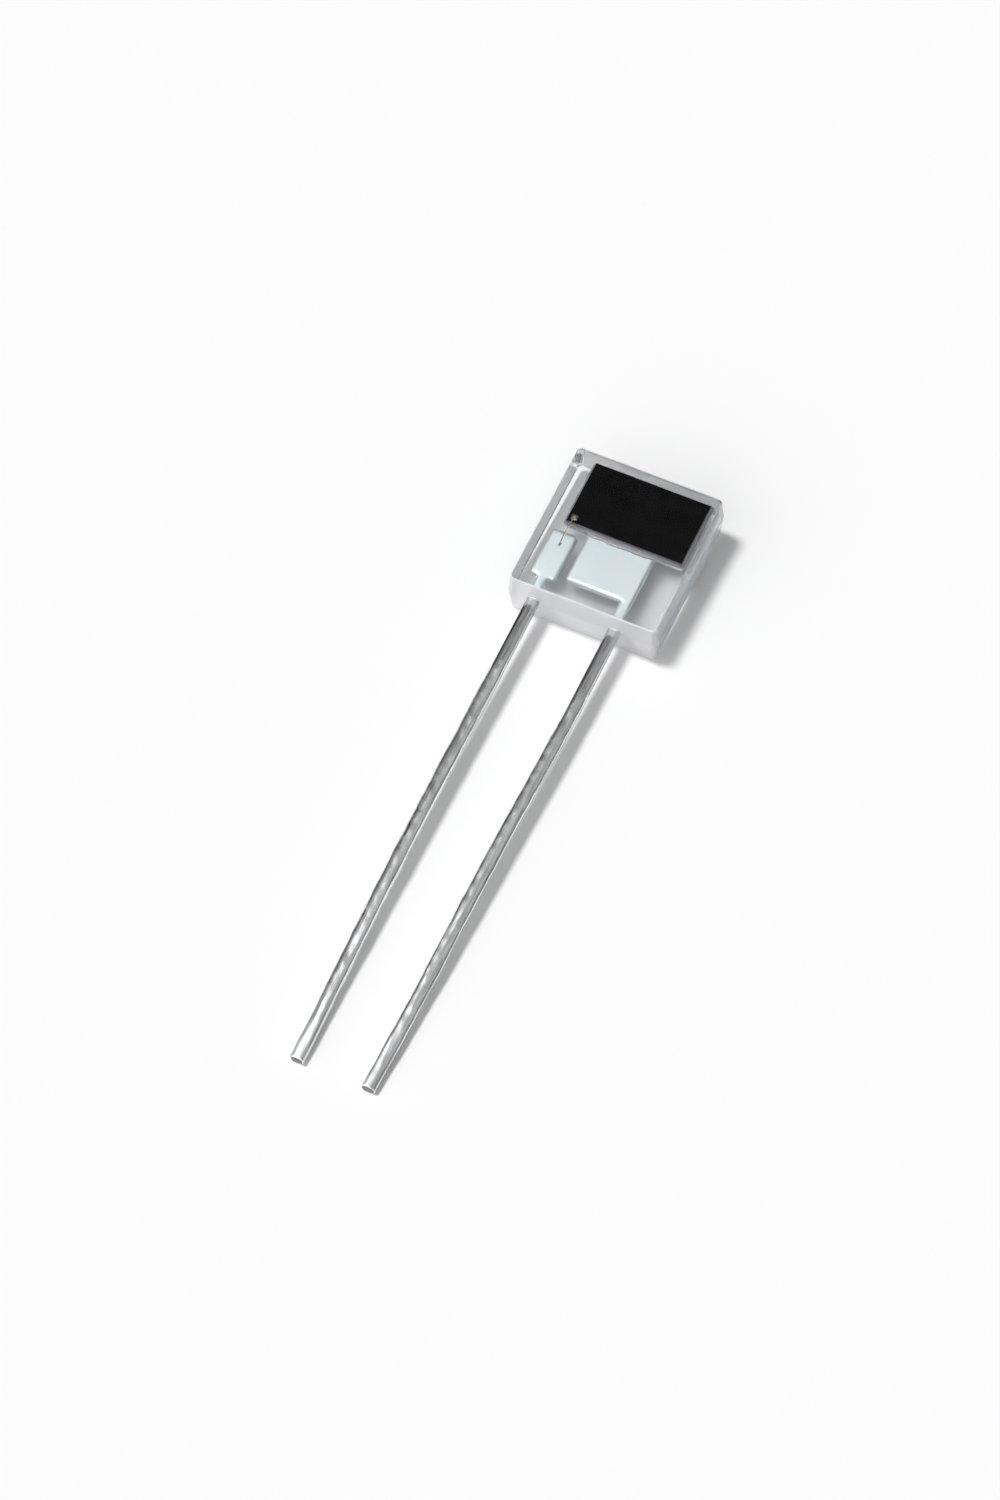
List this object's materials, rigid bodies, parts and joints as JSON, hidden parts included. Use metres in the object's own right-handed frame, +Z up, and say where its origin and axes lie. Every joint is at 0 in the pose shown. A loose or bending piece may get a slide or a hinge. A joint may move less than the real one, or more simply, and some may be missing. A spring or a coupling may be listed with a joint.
{
  "type": "infrared photodiode receiver",
  "caption": "Flat clear epoxy infrared receiver with a black silicon chip behind its front window and long straight solder-dipped leads.",
  "frame": {"origin": "on the surface that it lies on, under the middle of its bounding box", "axes": "+X across the body towards the cathode lead, +Y from the lead tips towards the far end of the body, +Z up out of the front window (tilted by the rest angle)"},
  "size_m": [0.0046, 0.021, 0.0018],
  "materials": {
    "clear_epoxy": "gloss",
    "tinned_lead": "satin",
    "silicon_chip": "gloss",
    "silver_adhesive": "matte",
    "gold_wire": "polished"
  },
  "bodies": {
    "root": {"epoxy_body": "clear_epoxy", "cathode_lead": "tinned_lead", "anode_lead": "tinned_lead", "photodiode_chip": "silicon_chip", "chip_adhesive": "silver_adhesive", "bond_wire": "gold_wire"}
  },
  "joints": []
}
